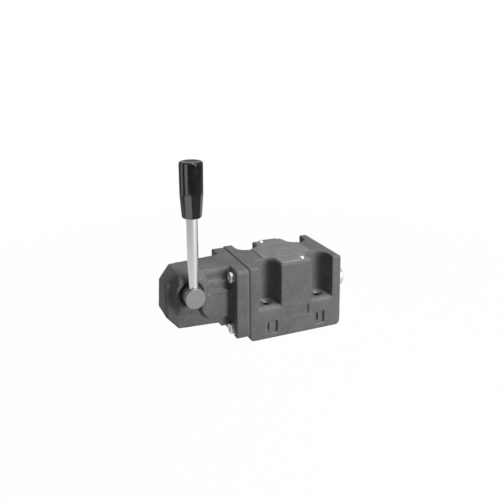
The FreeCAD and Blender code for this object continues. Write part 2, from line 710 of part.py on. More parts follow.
def lever_shaft():
    """Steel shaft across the housing: stout outside, where the lever enters, stepped down inside."""
    front, back, edge = "shaft_front", "shaft_back", "shaft_chamfer"
    journal, shoulder = "journal_diameter / 2", "hub_length / 2"
    corners = [(f"-{front}", "0"), (back, "0"), (back, f"{journal} - {edge}"),
               (f"{back} - {edge}", journal), (f"-{shoulder}", journal), (f"-{shoulder}", SHAFT_R),
               (f"{edge} - {front}", SHAFT_R), (f"-{front}", f"{SHAFT_R} - {edge}")]
    body = turned("lever_shaft", "Y", corners, (f"-{SHAFT_X}", "0", SHAFT_Z))
    seat = circles(body, "lever_seat", "XY_Plane",
                   [("0", f"-{LEVER_Y}", "lever_low_diameter + 2 * seat_clearance")],
                   shift=("0", "0", f"{SHAFT_R} - lever_seat_depth"))
    pocket(body, "lever_seat", seat, "lever_seat_depth + 1", flip=True)
    hole = circles(body, "pin_hole", "YZ_Plane", [("0", "0", "pin_diameter + 2 * seat_clearance")])
    pocket(body, "pin_hole", hole, "shaft_diameter + 2", both=True)
    return body


def ring(label, axis, start, end, inner, outer, at):
    """A plain turned ring, given by radii."""
    return turned(label, axis, [(start, inner), (end, inner), (end, outer), (start, outer)], at)


def shaft_bushes():
    """Two bushes that carry the shaft; their inner ends hold the crank's hub between them."""
    at = (f"-{SHAFT_X}", "0", SHAFT_Z)
    front = ring("shaft_bush_front", "Y", f"-{SEAL_BACK}", f"-{BUSH_FACE}",
                 f"{SHAFT_R} + running_clearance", f"{SHAFT_R} + bush_wall", at)
    rear = ring("shaft_bush_rear", "Y", BUSH_FACE, "shaft_back",
                "journal_diameter / 2 + running_clearance", "journal_diameter / 2 + bush_wall", at)
    return [front, rear]


def shaft_seal():
    """Rubber lip seal round the shaft, just inside the boss's face."""
    front = "(boss_face - seal_sunk)"
    inner, outer = f"{SHAFT_R} + running_clearance", f"{SHAFT_R} + seal_wall"
    corners = [(f"-{front}", f"{inner} + 0.5"), (f"0.6 - {front}", inner), (f"-{SEAL_BACK}", inner),
               (f"-{SEAL_BACK}", outer), (f"0.3 - {front}", outer), (f"-{front}", f"{outer} - 0.3")]
    return turned("shaft_seal", "Y", corners, (f"-{SHAFT_X}", "0", SHAFT_Z))


def crank_arm():
    """Hub on the shaft with a finger that ends in a ball on the spool's axis."""
    body = new_piece("crank_arm", (f"-{SHAFT_X}", "0", SHAFT_Z))
    bore, half = "journal_diameter / 2 + seat_clearance", "hub_length / 2"
    rim, edge = "hub_diameter / 2", "hub_edge"
    hub = [(f"-{half}", bore), (half, bore), (half, f"{rim} - {edge}"), (f"{half} - {edge}", rim),
           (f"{edge} - {half}", rim), (f"-{half}", f"{rim} - {edge}")]
    turn("Revolution", body, "hub", outline(body, "hub", "YZ_Plane", hub), "H_Axis")
    neck, ball, drop = "finger_neck / 2", "ball_diameter / 2", "finger_length"
    meet = f"sqrt(({ball})^2 - ({neck})^2) - {drop}"
    finger = [("0", f"-{drop} - {ball}"), (neck, meet), (neck, f"1 - {rim}"), ("0", f"1 - {rim}")]
    profile = outline(body, "finger", "XZ_Plane", finger, arcs={0: ("0", f"-{drop}", "Y")})
    turn("Revolution", body, "finger", profile, "V_Axis")
    hole = circles(body, "pin_hole", "YZ_Plane", [("0", "0", "pin_diameter + 2 * seat_clearance")])
    pocket(body, "pin_hole", hole, "hub_diameter + 2", both=True)
    return body


def crank_pin():
    """Cross pin through the hub and the shaft."""
    half, r, edge = "hub_diameter / 2 - 0.3", "pin_diameter / 2", "0.4"
    corners = [(f"-({half})", "0"), (half, "0"), (half, f"{r} - {edge}"), (f"{half} - {edge}", r),
               (f"{edge} - ({half})", r), (f"-({half})", f"{r} - {edge}")]
    return turned("crank_pin", "X", corners, (f"-{SHAFT_X}", "0", SHAFT_Z))


def lever_rod():
    """Steel rod, drawn in towards its foot, seated in the shaft and threaded into the grip's insert."""
    low, swell, high = "lever_low_diameter / 2", "lever_swell_diameter / 2", "lever_high_diameter / 2"
    thread = "lever_thread / 2"
    foot = f"({SHAFT_R} - lever_seat_depth)"
    tip = "(lever_grip_height + lever_thread_length)"
    corners = [(foot, "0"), (tip, "0"), (tip, f"{thread} - 0.8"), (f"{tip} - 0.8", thread),
               ("lever_grip_height", thread), ("lever_grip_height", high), ("lever_swell_height", swell),
               (SHAFT_R, low),
               (f"{foot} + 0.5", low), (foot, f"{low} - 0.5")]
    return turned("lever_rod", "Z", corners, (f"-{SHAFT_X}", f"-{LEVER_Y}", SHAFT_Z))


def handle_knob():
    """Moulded grip: round above, drawn in below with flats round the foot, slightly dished on top."""
    base = f"{SHAFT_Z} + lever_grip_height + seat_clearance"
    body = new_piece("handle_knob", (f"-{SHAFT_X}", f"-{LEVER_Y}", base))
    foot, waist, top = "grip_foot_diameter / 2", "grip_waist_diameter / 2", "grip_diameter / 2"
    bore, depth = "insert_diameter / 2 + seat_clearance", "insert_length + 0.2"
    soft = "grip_top_round"
    corners = [(bore, "0"), (f"{foot} - grip_foot_chamfer", "0"), (foot, "grip_foot_chamfer"),
               (waist, "grip_taper_height"), (top, f"grip_length - {soft}"),
               (f"{top} - {soft}", "grip_length"), ("grip_dish_diameter / 2", "grip_length"),
               ("0", "grip_length - grip_dish"), ("0", depth), (bore, depth)]
    profile = outline(body, "profile", "XZ_Plane", corners,
                      arcs={4: (f"{top} - {soft}", f"grip_length - {soft}", "Y")})
    turn("Revolution", body, "turning", profile, "V_Axis")
    flat = [("flat_foot_half", "-1"), (f"{top} + 2", "-1"), (f"{top} + 2", "grip_taper_height + 3"),
            (f"{waist} + 0.1", "grip_taper_height + 3")]
    cut = pocket(body, "flat", outline(body, "flat", "XZ_Plane", flat), "2 * grip_diameter", both=True)
    around = body.newObject("PartDesign::PolarPattern", "handle_knob_flats")
    around.Originals = [cut]
    around.Axis = (next(item for item in body.Origin.OriginFeatures if item.Role == "Z_Axis"), [""])
    around.Angle = 360
    around.Occurrences = int(GRIP_FLATS)
    body.Tip = around
    built(around)
    return body


def knob_insert():
    """Threaded metal insert moulded into the grip."""
    base = f"{SHAFT_Z} + lever_grip_height + seat_clearance"
    inner, outer = "lever_thread / 2 + seat_clearance", "insert_diameter / 2"
    waist = f"{outer} - 0.8"
    third = "insert_length / 3"
    corners = [("0", inner), ("insert_length", inner), ("insert_length", outer), (f"2 * {third}", outer),
               (f"2 * {third} - 0.8", waist), (f"{third} + 0.8", waist), (third, outer), ("0", outer)]
    return turned("knob_insert", "Z", corners, (f"-{SHAFT_X}", f"-{LEVER_Y}", base))


def spool():
    """Four-land spool with tapped left end; all ports are closed in the middle position."""
    r, core, edge = SPOOL_R, "spool_core / 2", "end_chamfer"
    left, right, land = "spool_left", "spool_right", "spool_land / 2"
    tap = "rod_diameter / 2 + seat_clearance"
    port, tank = "work_port_along", "(tank_port_along + chamber_width / 2 + 1.2)"
    corners = [(f"-{left}", tap), (f"spool_thread_depth - {left}", tap),
               (f"spool_thread_depth - {left}", "0"), (right, "0"), (right, f"{r} - {edge}"),
               (f"{right} - {edge}", r),
               (tank, r), (f"{tank} - 1", core), (f"{port} + {land} + 1", core), (f"{port} + {land}", r),
               (f"{port} - {land}", r), (f"{port} - {land} - 1", core), (f"{land} + 1 - {port}", core),
               (f"{land} - {port}", r), (f"-{port} - {land}", r), (f"-{port} - {land} - 1", core),
               (f"1 - {tank}", core), (f"-{tank}", r), (f"{edge} - {left}", r),
               (f"-{left}", f"{r} - {edge}")]
    return turned("spool", "X", corners, ("0", "0", "spool_height"))


def operating_rod():
    """Rod screwed into the spool's left end and into the fork."""
    r, edge = "rod_diameter / 2", "0.6"
    right = "(spool_left - spool_thread_depth + 0.5)"
    left = f"({SHAFT_X} - fork_length / 2 + fork_grip)"
    corners = [(f"-{left}", "0"), (f"-{right}", "0"), (f"-{right}", f"{r} - {edge}"),
               (f"-{right} - {edge}", r), (f"{edge} - {left}", r), (f"-{left}", f"{r} - {edge}")]
    return turned("operating_rod", "X", corners, ("0", "0", "spool_height"))


def rod_fork():
    """Slotted head on the rod's end, open above for the crank's ball."""
    half = "(fork_length / 2)"
    corners = [(f"-{half}", "0"), (half, "0"), (half, "fork_diameter / 2 - 0.6"),
               (f"{half} - 0.6", "fork_diameter / 2"), (f"0.6 - {half}", "fork_diameter / 2"),
               (f"-{half}", "fork_diameter / 2 - 0.6")]
    body = turned("rod_fork", "X", corners, (f"-{SHAFT_X}", "0", "spool_height"))
    reach = "fork_length + fork_diameter"
    above = outline(body, "flat_top", "XZ_Plane", box(f"-({reach})", reach, "fork_top", reach))
    pocket(body, "flat_top", above, reach, both=True)
    width = "(ball_diameter / 2 + ball_clearance)"
    pocket(body, "ball_slot", outline(body, "ball_slot", "XZ_Plane",
                                      box(f"-{width}", width, "-fork_slot_depth", reach)), reach, both=True)
    tapped = circles(body, "tapped_hole", "YZ_Plane", [("0", "0", "rod_diameter + 2 * seat_clearance")])
    pocket(body, "tapped_hole", tapped, half, flip=True)
    return body


def fork_lock_nut():
    """Thin nut that locks the fork on the rod."""
    body = new_piece("fork_lock_nut", (f"fork_length / 2 - {SHAFT_X}", "0", "spool_height"))
    pad(body, "hexagon", outline(body, "hexagon", "YZ_Plane", hexagon("lock_nut_flats")), "lock_nut_height")
    bore = circles(body, "bore", "YZ_Plane", [("0", "0", "rod_diameter + 2 * seat_clearance")])
    pocket(body, "bore", bore, "2 * lock_nut_height + 2", both=True)
    return body


def spring_seats():
    """Washers between the spool's ends and the springs."""
    at = ("0", "0", "spool_height")
    left = ring("spring_seat_left", "X", f"-{LEFT_SEAT}", "-spool_left",
                "rod_diameter / 2 + seat_clearance", "seat_diameter / 2", at)
    spigot, top = "(spring_outside / 2 - spring_wire - 0.3)", f"{RIGHT_SEAT} + seat_spigot"
    right = turned("spring_seat_right", "X",
                   [("spool_right", "0"), (top, "0"), (top, f"{spigot} - 1"), (f"{top} - 1", spigot),
                    (RIGHT_SEAT, spigot), (RIGHT_SEAT, "seat_diameter / 2"),
                    ("spool_right", "seat_diameter / 2")], at)
    return [left, right]


def spring_cup():
    """Flanged cup, trapped between housing and body, that holds the left spring."""
    bore, wall, passage = "cup_bore / 2", "cup_wall", "rod_passage / 2"
    mouth, step = FLANGE_FACE, f"({FLANGE_FACE} + cup_flange_thickness)"
    corners = [(f"-{mouth}", bore), (f"-{mouth}", "cup_flange / 2"), (f"-{step}", "cup_flange / 2"),
               (f"-{step}", f"{bore} + {wall}"), (f"-{CUP_BOTTOM} - {wall}", f"{bore} + {wall}"),
               (f"-{CUP_BOTTOM} - {wall}", passage), (f"-{CUP_BOTTOM}", passage), (f"-{CUP_BOTTOM}", bore)]
    return turned("spring_cup", "X", corners, ("0", "0", "spool_height"))


def coil_spring(label, start):
    """Compression spring along the spool's axis; its wire is drawn with eight sides."""
    radius, travel = "(spring_outside - spring_wire) / 2", "(spring_length - spring_wire)"
    helix = doc.addObject("Part::Helix", f"{label}_line")
    helix.setExpression("Height", bound(travel))
    helix.setExpression("Pitch", bound(f"{travel} / spring_turns"))
    helix.setExpression("Radius", bound(radius))
    wire = doc.addObject("Part::RegularPolygon", f"{label}_section")
    wire.Polygon = int(WIRE_SIDES)
    wire.setExpression("Circumradius", bound("spring_wire / 2"))
    wire.setExpression("Placement.Base.x", bound(radius))
    wire.Placement.Rotation = FreeCAD.Rotation(FreeCAD.Vector(1, 0, 0), 90)
    spring = doc.addObject("Part::Sweep", label)
    spring.Label = label
    spring.Sections = [wire]
    spring.Spine = (helix, [])
    spring.Solid = True
    spring.Frenet = True
    spring.Placement.Rotation = FreeCAD.Rotation(FreeCAD.Vector(0, 1, 0), 90)
    spring.setExpression("Placement.Base.x", bound(f"{start} + spring_wire / 2"))
    spring.setExpression("Placement.Base.z", bound("spool_height"))
    return spring


def springs():
    """The two centring springs, one behind each end of the spool."""
    return [coil_spring("spring_left", f"-{CUP_BOTTOM}"), coil_spring("spring_right", RIGHT_SEAT)]


def end_plug():
    """Hexagon plug with a round nose that closes the bore and houses the right spring."""
    body = new_piece("end_plug", (BODY_END, "0", "spool_height"))
    pad(body, "hexagon", outline(body, "hexagon", "YZ_Plane", hexagon("plug_flats")), "plug_hex_height")
    thread, depth = "plug_thread / 2", "plug_thread_length"
    nose, edge = "plug_nose / 2", "plug_chamfer"
    relief, bottom = f"(plug_relief_depth - {depth})", f"({PLUG_BOTTOM} - {BODY_END})"
    sleeve = [(f"-{depth}", "plug_relief_bore / 2"), (relief, "plug_relief_bore / 2"),
              (relief, "cup_bore / 2"), (bottom, "cup_bore / 2"), (bottom, "0"), ("plug_reach", "0"),
              ("plug_reach", f"{nose} - {edge}"), (f"plug_reach - {edge}", nose),
              ("plug_hex_height / 2", nose), ("plug_hex_height / 2", thread), (f"0.8 - {depth}", thread),
              (f"-{depth}", f"{thread} - 0.8")]
    bore = [(f"-{depth} - 1", "0"), (bottom, "0"), (bottom, "cup_bore / 2"), (relief, "cup_bore / 2"),
            (relief, "plug_relief_bore / 2"), (f"-{depth} - 1", "plug_relief_bore / 2")]
    turn("Revolution", body, "sleeve", outline(body, "sleeve", "XZ_Plane", sleeve), "H_Axis")
    turn("Groove", body, "bore", outline(body, "bore", "XZ_Plane", bore), "H_Axis")
    crown = "(plug_flats / 2)"
    bevel = [("plug_hex_height", f"{crown} - 0.4"), ("plug_hex_height + 1", f"{crown} - 0.4"),
             ("plug_hex_height + 1", "plug_flats"), ("plug_hex_height - 1.4", "plug_flats * 0.575")]
    turn("Groove", body, "bevel", outline(body, "bevel", "XZ_Plane", bevel), "H_Axis")
    cord, middle = "plug_ring_cord", "plug_ring_diameter / 2"
    seat = box("0", cord, f"{middle} - {cord} / 2 - 0.05", f"{middle} + {cord} / 2 + 0.05")
    turn("Groove", body, "ring_seat", outline(body, "ring_seat", "XZ_Plane", seat), "H_Axis")
    return body


def end_plug_oring():
    """Sealing ring in the groove under the plug's hexagon, with eight sides to its cord."""
    middle, half, corner = "plug_ring_diameter / 2", "(plug_ring_cord / 2)", "(plug_ring_cord * 0.207)"
    corners = [(f"-{half}", f"{middle} - {corner}"), (f"-{corner}", f"{middle} - {half}"),
               (corner, f"{middle} - {half}"), (half, f"{middle} - {corner}"),
               (half, f"{middle} + {corner}"), (corner, f"{middle} + {half}"),
               (f"-{corner}", f"{middle} + {half}"), (f"-{half}", f"{middle} + {corner}")]
    return turned("end_plug_oring", "X", corners, (f"{BODY_END} + plug_ring_cord / 2", "0", "spool_height"))


def main():
    makers = [valve_body, nameplate, nameplate_screws, port_orings, lever_housing, housing_gasket,
              housing_screws, lever_shaft, shaft_bushes, shaft_seal, crank_arm, crank_pin, lever_rod,
              handle_knob, knob_insert, spool, operating_rod, rod_fork, fork_lock_nut, spring_seats,
              spring_cup, springs, end_plug, end_plug_oring]
    pieces = []
    for make in makers:
        made = make()
        pieces += made if isinstance(made, list) else [made]
    doc.recompute()
    for item in doc.Objects:
        if "Invalid" in item.State or "Error" in item.State:
            raise RuntimeError(f"{item.Label} failed: {item.State}")
    os.makedirs("parts", exist_ok=True)
    for piece in pieces:
        shape = piece.Shape
        if shape.isNull() or not shape.isValid():
            raise RuntimeError(f"{piece.Label} has no valid shape")
        shape.exportStep(f"parts/{piece.Label}.step")
        extent = shape.BoundBox
        print(f"{piece.Label}: {len(shape.Solids)} solid(s), {shape.Volume:.0f} mm3, "
              f"{extent.XLength:.1f} x {extent.YLength:.1f} x {extent.ZLength:.1f}")


main()
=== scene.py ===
import math

import bmesh
import bpy
from mathutils import Matrix, Vector


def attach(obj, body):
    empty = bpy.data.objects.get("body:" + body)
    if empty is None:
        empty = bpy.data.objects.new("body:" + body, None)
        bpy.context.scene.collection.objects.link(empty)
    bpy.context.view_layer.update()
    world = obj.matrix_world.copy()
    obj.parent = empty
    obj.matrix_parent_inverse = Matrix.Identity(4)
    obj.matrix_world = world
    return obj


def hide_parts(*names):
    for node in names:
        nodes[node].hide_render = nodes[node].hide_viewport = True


MM = 0.001
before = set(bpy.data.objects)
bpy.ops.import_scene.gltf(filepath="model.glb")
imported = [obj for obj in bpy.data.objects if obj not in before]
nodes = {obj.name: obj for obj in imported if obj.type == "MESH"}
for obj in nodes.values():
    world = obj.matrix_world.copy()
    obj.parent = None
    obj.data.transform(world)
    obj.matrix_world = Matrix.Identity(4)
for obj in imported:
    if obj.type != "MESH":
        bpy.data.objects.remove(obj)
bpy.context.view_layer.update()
scene = bpy.context.scene

# Places and sizes on the valve, in millimetres in the row frame.
BODY_FRONT = -34.5
SPOOL_Z = 36.0
POCKET_X = 27.0
POCKET_FLOOR = 30.3
BOLT_Y = 23.0
SHAFT_X, SHAFT_Z = -98.6, 51.6
SHAFT_FACE = -35.0
SHAFT_RADIUS = 9.2
LEVER_Y = -28.5
ROD_FOOT, GRIP_FOOT = 52.8, 123.6
SCREW_SEAT, SCREW_ACROSS, SCREW_RISE = -56.9, 22.5, 24.75
SCREW_PLACES = [(side * SCREW_ACROSS, SPOOL_Z + rise * SCREW_RISE) for side in (-1, 1) for rise in (-1, 1)]
DRIVE_SCREWS = [(8.4, -28.3), (-8.4, 28.3)]
PLATE_TOP = 71.8


# Materials.

def socket(group, kind, name, direction, default=None):
    made = group.interface.new_socket(name=name, in_out=direction, socket_type=kind)
    if default is not None:
        made.default_value = default


def effect(name, inputs, outputs):
    """An empty node group with its named inputs and outputs."""
    group = bpy.data.node_groups.new(name, "ShaderNodeTree")
    for kind, label, default in inputs:
        socket(group, kind, label, "INPUT", default)
    for kind, label in outputs:
        socket(group, kind, label, "OUTPUT")
    return group, group.nodes.new("NodeGroupInput"), group.nodes.new("NodeGroupOutput")


def add(tree, kind, **values):
    """A node with its settings, and with its input sockets set by name or number."""
    node = tree.nodes.new(kind)
    inputs = values.pop("inputs", {})
    for name, value in values.items():
        setattr(node, name, value)
    for name, value in inputs.items():
        if isinstance(value, bpy.types.NodeSocket):
            tree.links.new(value, node.inputs[name])
        else:
            node.inputs[name].default_value = value
    return node


def maths(tree, operation, a, b=0.0, c=0.0, clamp=False):
    return add(tree, "ShaderNodeMath", operation=operation, use_clamp=clamp,
               inputs={0: a, 1: b, 2: c}).outputs[0]


def distance_across(tree, a, b):
    """The length of the line whose two legs are given."""
    return maths(tree, "SQRT", maths(tree, "ADD", maths(tree, "MULTIPLY", a, a), maths(tree, "MULTIPLY", b, b)))


def noise(tree, vector, scale, detail=3.0, roughness=0.5):
    return add(tree, "ShaderNodeTexNoise",
               inputs={"Vector": vector, "Scale": scale, "Detail": detail,
                       "Roughness": roughness}).outputs["Fac"]


def between(tree, value, low, high, to_low=0.0, to_high=1.0, smooth=True):
    return add(tree, "ShaderNodeMapRange", interpolation_type="SMOOTHSTEP" if smooth else "LINEAR",
               inputs={"Value": value, "From Min": low, "From Max": high, "To Min": to_low,
                       "To Max": to_high}).outputs["Result"]


def mixed(tree, factor, a, b):
    node = add(tree, "ShaderNodeMix", data_type="RGBA", clamp_factor=True)
    for place, value in ((0, factor), (6, a), (7, b)):
        if isinstance(value, bpy.types.NodeSocket):
            tree.links.new(value, node.inputs[place])
        else:
            node.inputs[place].default_value = value
    return node.outputs[2]


def cast_surface():
    """Sand-cast skin: fine grain with a few pits, cloudy coating, and paler convex edges that stand partly for
    scuffed paint and partly for a painted edge highlight.
    """
    group, given, out = effect(
        "sand_cast_surface",
        [("NodeSocketVector", "Place", None), ("NodeSocketColor", "Coat", (0.15, 0.15, 0.155, 1)),
         ("NodeSocketColor", "Rubbed", (0.26, 0.26, 0.265, 1)), ("NodeSocketFloat", "Edge", 0.5),
         ("NodeSocketFloat", "Wear", 0.5)],
        [("NodeSocketColor", "Color"), ("NodeSocketFloat", "Roughness"), ("NodeSocketFloat", "Height")])
    place = given.outputs["Place"]
    grain = noise(group, place, 2600.0, 4.0, 0.6)
    lumps = noise(group, place, 420.0, 3.0, 0.55)
    cloud = noise(group, place, 55.0, 4.0, 0.6)
    pits = add(group, "ShaderNodeTexVoronoi", feature="F1",
               inputs={"Vector": place, "Scale": 520.0}).outputs["Distance"]
    pit_mask = between(group, pits, 0.10, 0.24)
    # Paler colour on convex edges, found from pointiness: partly scuffed paint, partly a painted highlight along
    # the edges.
    worn_and_lit = between(group, maths(group, "ADD", given.outputs["Edge"], maths(group, "MULTIPLY", grain, 0.06)),
                   0.545, 0.62)
    worn_and_lit = maths(group, "MULTIPLY", worn_and_lit, given.outputs["Wear"], clamp=True)
    shade = between(group, cloud, 0.3, 0.7, 0.86, 1.10)
    mottle = between(group, noise(group, place, 700.0, 3.0, 0.6), 0.35, 0.65, 0.84, 1.14)
    grained = maths(group, "MULTIPLY", maths(group, "MULTIPLY", shade, mottle),
                    between(group, grain, 0.3, 0.7, 0.88, 1.1))
    coat = add(group, "ShaderNodeMix", data_type="RGBA", blend_type="MULTIPLY")
    coat.inputs[0].default_value = 1.0
    group.links.new(given.outputs["Coat"], coat.inputs[6])
    grey = add(group, "ShaderNodeCombineColor", inputs={0: grained, 1: grained, 2: grained})
    group.links.new(grey.outputs[0], coat.inputs[7])
    # The edge mask blends in the paler edge colour, which is a painted edge highlight as well as scuffing.
    group.links.new(mixed(group, worn_and_lit, coat.outputs[2], given.outputs["Rubbed"]), out.inputs["Color"])
    rough = between(group, lumps, 0.3, 0.7, 0.50, 0.64)
    group.links.new(maths(group, "SUBTRACT", rough, maths(group, "MULTIPLY", worn_and_lit, 0.14)), out.inputs["Roughness"])
    height = maths(group, "ADD", maths(group, "MULTIPLY", grain, 0.35), maths(group, "MULTIPLY", lumps, 0.8))
    group.links.new(maths(group, "ADD", height, maths(group, "MULTIPLY", pit_mask, 0.25)), out.inputs["Height"])
    return group


def turned_surface():
    """Fine rings left by a lathe, about the Z axis of the given place, with small smears."""
    group, given, out = effect(
        "turned_surface",
        [("NodeSocketVector", "Place", None), ("NodeSocketFloat", "Rings", 9000.0)],
        [("NodeSocketFloat", "Mask"), ("NodeSocketFloat", "Height")])
    parts = add(group, "ShaderNodeSeparateXYZ", inputs={0: given.outputs["Place"]})
    radius = distance_across(group, parts.outputs[0], parts.outputs[1])
    line = add(group, "ShaderNodeCombineXYZ", inputs={0: radius, 1: parts.outputs[2]})
    rings = noise(group, line.outputs[0], given.outputs["Rings"], 2.0, 0.6)
    smear = noise(group, given.outputs["Place"], 260.0, 3.0, 0.6)
    group.links.new(maths(group, "MULTIPLY_ADD", rings, 0.7, maths(group, "MULTIPLY", smear, 0.3)),
                    out.inputs["Mask"])
    group.links.new(rings, out.inputs["Height"])
    return group


def handled_surface():
    """Slight unevenness of a moulded or plated piece, with faint finger marks."""
    group, given, out = effect(
        "handled_surface",
        [("NodeSocketVector", "Place", None), ("NodeSocketFloat", "Grain", 1800.0)],
        [("NodeSocketFloat", "Mask"), ("NodeSocketFloat", "Height")])
    marks = noise(group, given.outputs["Place"], 150.0, 5.0, 0.65)
    grain = noise(group, given.outputs["Place"], given.outputs["Grain"], 2.0)
    group.links.new(between(group, marks, 0.35, 0.7), out.inputs["Mask"])
    group.links.new(maths(group, "MULTIPLY_ADD", grain, 0.5, maths(group, "MULTIPLY", marks, 0.5)),
                    out.inputs["Height"])
    return group


CAST, TURNED, HANDLED = cast_surface(), turned_surface(), handled_surface()


def new_material(name, **settings):
    """A Principled material; returns it with its tree, shader and Object coordinates."""
    material = bpy.data.materials.new(name)
    material.use_nodes = True
    tree = material.node_tree
    shader = tree.nodes["Principled BSDF"]
    for label, value in settings.items():
        shader.inputs[label.replace("_", " ")].default_value = value
    place = add(tree, "ShaderNodeTexCoord").outputs["Object"]
    return material, tree, shader, place


def use_group(tree, group, **inputs):
    node = tree.nodes.new("ShaderNodeGroup")
    node.node_tree = group
    for name, value in inputs.items():
        if isinstance(value, bpy.types.NodeSocket):
            tree.links.new(value, node.inputs[name])
        else:
            node.inputs[name].default_value = value
    return node


def bump(tree, shader, height, distance, strength=1.0):
    node = add(tree, "ShaderNodeBump", inputs={"Height": height, "Distance": distance * MM, "Strength": strength})
    tree.links.new(node.outputs["Normal"], shader.inputs["Normal"])


def machined_faces():
    """Where the body is cut bare: its ground base and the four spot faces in the pockets."""
    group, given, out = effect("machined_faces", [("NodeSocketVector", "Place", None)],
                               [("NodeSocketFloat", "Mask")])
    parts = add(group, "ShaderNodeSeparateXYZ", inputs={0: given.outputs["Place"]})
    x, y, z = parts.outputs
    base = between(group, z, 0.25 * MM, 0.12 * MM)
    across = maths(group, "SUBTRACT", maths(group, "ABSOLUTE", x), POCKET_X * MM)
    along = maths(group, "SUBTRACT", maths(group, "ABSOLUTE", y), BOLT_Y * MM)
    radius = distance_across(group, across, along)
    near = between(group, radius, 6.3 * MM, 6.0 * MM)
    height = maths(group, "ABSOLUTE", maths(group, "SUBTRACT", z, POCKET_FLOOR * MM))
    level = between(group, height, 0.5 * MM, 0.3 * MM)
    group.links.new(maths(group, "MAXIMUM", base, maths(group, "MULTIPLY", near, level)), out.inputs["Mask"])
    return group


MACHINED = machined_faces()


def cast_material(name, coat, rubbed_and_lit, wear_and_highlight, bare=None):
    """Painted casting; where a bare mask is given, its faces show as cut iron."""
    material, tree, shader, place = new_material(name, Specular_IOR_Level=0.45)
    # Pointiness drives the paler edges of the skin: partly scuffed paint, partly a painted edge highlight.
    edge = add(tree, "ShaderNodeNewGeometry").outputs["Pointiness"]
    skin = use_group(tree, CAST, Place=place, Coat=coat, Rubbed=rubbed_and_lit, Edge=edge, Wear=wear_and_highlight)
    colour, rough, height = skin.outputs["Color"], skin.outputs["Roughness"], skin.outputs["Height"]
    if bare is not None:
        mask = use_group(tree, bare, Place=place).outputs["Mask"]
        colour = mixed(tree, mask, colour, grey(0.42))
        rough = maths(tree, "MULTIPLY_ADD", mask, -0.2, rough)
        height = maths(tree, "MULTIPLY", height, maths(tree, "MULTIPLY_ADD", mask, -0.8, 1.0))
        tree.links.new(mask, shader.inputs["Metallic"])
    tree.links.new(colour, shader.inputs["Base Color"])
    tree.links.new(rough, shader.inputs["Roughness"])
    bump(tree, shader, height, 0.09)
    return material


def metal_material(name, dark, light, rough, centre=None, axis="Z", rings=9000.0, depth=0.012):
    """Turned metal; the rings run about the axis through the centre, in millimetres."""
    material, tree, shader, place = new_material(name, Metallic=1.0)
    if centre is not None:
        turns = {"X": (0.0, -math.pi / 2, 0.0), "Y": (math.pi / 2, 0.0, 0.0), "Z": (0.0, 0.0, 0.0)}[axis]
        place = add(tree, "ShaderNodeMapping", vector_type="TEXTURE",
                    inputs={"Vector": place, "Location": [c * MM for c in centre],
                            "Rotation": turns}).outputs["Vector"]
        skin = use_group(tree, TURNED, Place=place, Rings=rings)
    else:
        skin = use_group(tree, HANDLED, Place=place)
    tree.links.new(mixed(tree, skin.outputs["Mask"], dark, light), shader.inputs["Base Color"])
    tree.links.new(between(tree, skin.outputs["Mask"], 0.2, 0.8, rough[0], rough[1]), shader.inputs["Roughness"])
    bump(tree, shader, skin.outputs["Height"], depth)
    return material


def moulded_material(name, colour, pale, rough, depth=0.01, **settings):
    material, tree, shader, place = new_material(name, **settings)
    skin = use_group(tree, HANDLED, Place=place)
    tree.links.new(mixed(tree, skin.outputs["Mask"], colour, pale), shader.inputs["Base Color"])
    tree.links.new(between(tree, skin.outputs["Mask"], 0.0, 1.0, rough[0], rough[1]), shader.inputs["Roughness"])
    bump(tree, shader, skin.outputs["Height"], depth)
    return material


def grey(level, blue=1.0):
    return (level, level, level * blue, 1.0)


SHAFT_CENTRE, ROD_CENTRE, SPOOL_CENTRE = (SHAFT_X, 0, SHAFT_Z), (SHAFT_X, LEVER_Y, 0), (0, 0, SPOOL_Z)
FINISH = {
    # The second grey of each casting is its paler edge colour, partly scuffed paint and partly a painted edge
    # highlight.
    "body_casting": cast_material("body_casting", grey(0.165, 1.02), grey(0.26), 0.6, MACHINED),
    "housing_casting": cast_material("housing_casting", grey(0.160, 1.02), grey(0.26), 0.6),
    "plate": metal_material("matt_plate", grey(0.28), grey(0.315), (0.50, 0.58)),
    "zinc": metal_material("zinc_plate", grey(0.84), grey(0.94), (0.42, 0.54)),
    "shaft": metal_material("turned_shaft", grey(0.28), grey(0.37), (0.36, 0.46), SHAFT_CENTRE, "Y"),
    "rod": metal_material("bright_rod", grey(0.80), grey(0.87), (0.30, 0.36), ROD_CENTRE, "Z", depth=0.002),
    "spool": metal_material("ground_spool", grey(0.46), grey(0.58), (0.18, 0.28), SPOOL_CENTRE, "X"),
    "black_steel": metal_material("blackened_steel", grey(0.06), grey(0.11), (0.38, 0.50)),
    "bronze": metal_material("bronze_bush", (0.44, 0.26, 0.10, 1), (0.58, 0.37, 0.17, 1), (0.28, 0.38),
                             SHAFT_CENTRE, "Y"),
    "brass": metal_material("brass_insert", (0.58, 0.40, 0.14, 1), (0.72, 0.53, 0.22, 1), (0.26, 0.36),
                            ROD_CENTRE, "Z"),
    "spring": metal_material("spring_wire", grey(0.26), grey(0.36), (0.30, 0.42)),
    "plug": metal_material("zinc_plug", grey(0.80), grey(0.92), (0.34, 0.46), SPOOL_CENTRE, "X"),
    "grip": moulded_material("moulded_grip", grey(0.008), grey(0.013), (0.13, 0.20), 0.004,
                             Specular_IOR_Level=0.3),
    "rubber": moulded_material("seal_rubber", grey(0.012), grey(0.022), (0.55, 0.70), 0.012),
    "gasket": moulded_material("fibre_gasket", grey(0.12), grey(0.15), (0.75, 0.85), 0.03),
}

